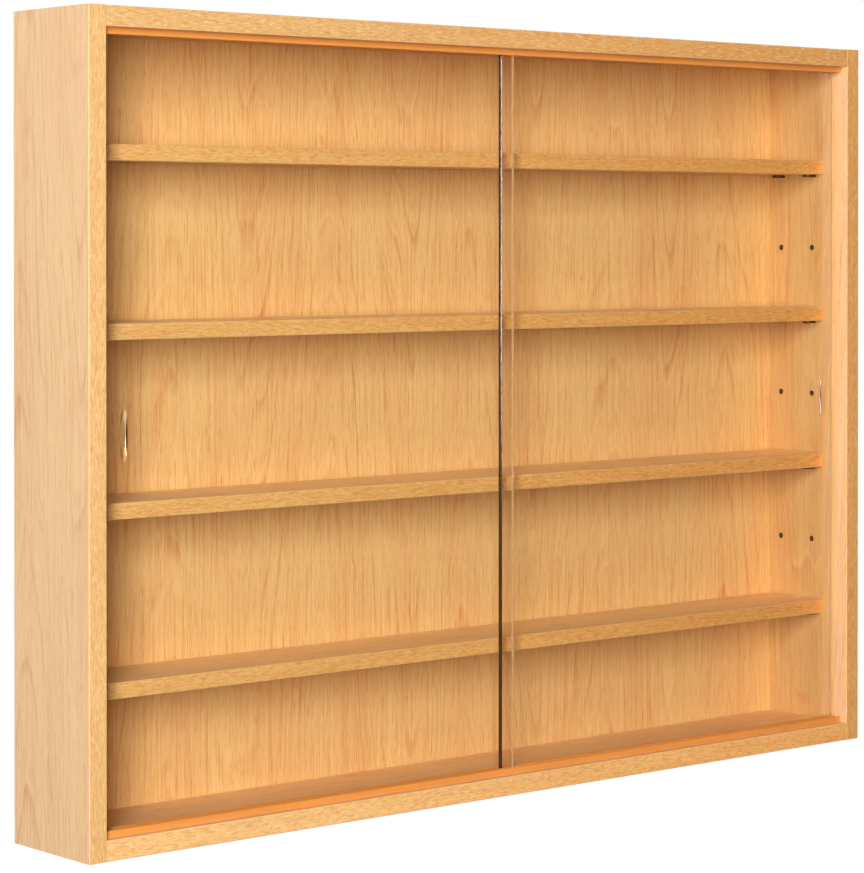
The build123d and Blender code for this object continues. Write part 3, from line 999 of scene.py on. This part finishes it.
class Stage(Operator):
    """Set the floor, the lamps and the camera"""

    bl_idname = "display_case.stage"
    bl_label = "Stage"

    def execute(self, context):
        stage = context.scene.case_stage
        low, high = CAD_BOX
        middle = (low + high) / 2
        set_world(context.scene, stage)
        lay_floor(low[Z] - stage.floor_drop)
        hang_lamp(
            "key", middle, stage.key_turn, stage.key_distance, stage.key_rise,
            (stage.key_width, stage.key_height), stage.key_power,
        )
        front = hang_lamp(
            "front", middle, stage.front_turn, stage.key_distance, stage.front_rise,
            (stage.front_size, stage.front_size), stage.front_power,
        )
        front.color = stage.front_tint
        for name, turn in FILL_TURNS.items():
            hang_lamp(
                name, middle, math.radians(turn), stage.fill_distance, stage.fill_rise,
                (stage.fill_size, stage.fill_size), stage.fill_power,
            )
        hang_curtain(middle[Z])
        set_camera(context.scene, stage)
        context.scene.view_settings.view_transform = "Standard"
        return {"FINISHED"}


def seen_rays(shade):
    """1 for rays that show the background itself: from the camera, from mirrors and through glass."""
    path = shade.node("ShaderNodeLightPath", output="Is Camera Ray")
    others = path.output("Is Glossy Ray").maths("MAXIMUM", path.output("Is Transmission Ray"))
    return path.maths("MAXIMUM", others)


def set_world(scene, stage):
    """White where it is seen, and a low even light on everything else."""
    world = bpy.data.worlds.new("studio")
    world.use_nodes = True
    tree = world.node_tree
    tree.nodes.clear()
    start = Shade(tree, None)
    seen = seen_rays(start)
    strength = seen * (1 - stage.ambient) + stage.ambient
    light = start.node("ShaderNodeBackground", values={"Color": (1, 1, 1, 1), "Strength": strength})
    light.node("ShaderNodeOutputWorld", values={"Surface": light})
    scene.world = world


def flat_piece(name, corners, material):
    """A flat piece of the stage with these four corners."""
    mesh = bpy.data.meshes.new(name)
    mesh.from_pydata(corners, [], [(0, 1, 2, 3)])
    mesh.materials.append(material)
    return put_in_scene(name, mesh)


def lay_floor(height):
    """A wide white floor that glows for the camera, most far out, and still takes the case's shadow."""
    reach = 30.0
    least_glow, glow_start, glow_full = 0.8, 1.6, 3.6
    finish = Finish("floor_white")
    away = finish.place.node(
        "ShaderNodeVectorMath", {"operation": "LENGTH"}, {0: finish.place}, output="Value"
    )
    glow = least_glow + away.smooth(glow_start, glow_full) * (1 - least_glow)
    emission = away.node(
        "ShaderNodeEmission", values={"Color": (1, 1, 1, 1), "Strength": seen_rays(away) * glow}
    )
    matt = away.node("ShaderNodeBsdfDiffuse", values={"Color": (0.2, 0.2, 0.2, 1)})
    white = finish.show(matt.node("ShaderNodeAddShader", values={0: matt, 1: emission}))
    signs = (-1, -1), (1, -1), (1, 1), (-1, 1)
    floor = flat_piece("floor", [(reach * x, reach * y, height) for x, y in signs], white)


def hang_lamp(name, middle, turn, away, rise, size, watts):
    """A soft lamp's light. The lamp stands turn to the left of the case's front, seen from above."""
    data = bpy.data.lights.new(name, "AREA")
    data.shape = "RECTANGLE"
    data.size, data.size_y = size
    data.energy = watts
    lamp = put_in_scene(name, data)
    lamp.location = (
        middle[X] - away * math.sin(turn), middle[Y] - away * math.cos(turn), middle[Z] + rise
    )
    lamp.rotation_euler = (math.pi / 2, 0, -turn)
    lamp.visible_camera = False
    return data


def hang_curtain(height):
    """A wide dark curtain behind the lamps in front, which keeps the white room out of the panes."""
    left, right, front = -6.5, 8.0, -4.6
    low, high = height - 1.4, height + 3.0
    corners = [(left, front, low), (right, front, low), (right, front, high), (left, front, high)]
    cloth = Finish("flag_cloth").paint(Base_Color=tone(40, 38, 36), Roughness=0.9)
    flag = flat_piece("flag", corners, cloth)
    flag.visible_camera = False


def set_camera(scene, stage):
    """The camera at the photograph's viewing angle: nearly level, and framed by shifting the lens."""
    data = bpy.data.cameras.new("camera")
    data.sensor_width = 36.0
    data.lens = stage.focal_length
    data.shift_x = stage.shift_x
    data.shift_y = stage.shift_y
    data.clip_start = 0.1
    data.clip_end = 100.0
    camera = put_in_scene("camera", data)
    camera.location = stage.camera_place
    camera.rotation_euler = (math.pi / 2 - stage.camera_dip, 0, -stage.camera_turn)
    scene.camera = camera


OPERATORS = (
    SidePanels, CrossPanels, BackPanel, EdgeBands, Shelves, DoorTracks,
    GlassDoors, ShelfPegs, CornerFittings, Hangers, Stage,
)


class CasePanel(Panel):
    """The case's finishing steps in the 3D view's sidebar"""

    bl_idname = "VIEW3D_PT_display_case"
    bl_label = "Display case"
    bl_space_type = "VIEW_3D"
    bl_region_type = "UI"
    bl_category = "Display case"

    def draw(self, context):
        for operator in OPERATORS:
            self.layout.operator(operator.bl_idname)
        for group in SETTINGS:
            box = self.layout.box()
            for name in SETTINGS[group].__annotations__:
                box.prop(getattr(context.scene, group), name)


SETTINGS = {
    "case_wood": WoodSettings,
    "case_glass": GlassSettings,
    "case_fittings": FittingSettings,
    "case_stage": StageSettings,
}
CLASSES = (*SETTINGS.values(), *OPERATORS, CasePanel)


def register():
    for kind in CLASSES:
        bpy.utils.register_class(kind)
    for name, kind in SETTINGS.items():
        setattr(bpy.types.Scene, name, PointerProperty(type=kind))


def unregister():
    for name in SETTINGS:
        delattr(bpy.types.Scene, name)
    for kind in reversed(CLASSES):
        bpy.utils.unregister_class(kind)


def main():
    """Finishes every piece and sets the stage."""
    register()
    for operator in OPERATORS:
        group, name = operator.bl_idname.split(".")
        getattr(getattr(bpy.ops, group), name)()


if __name__ == "__main__":
    main()
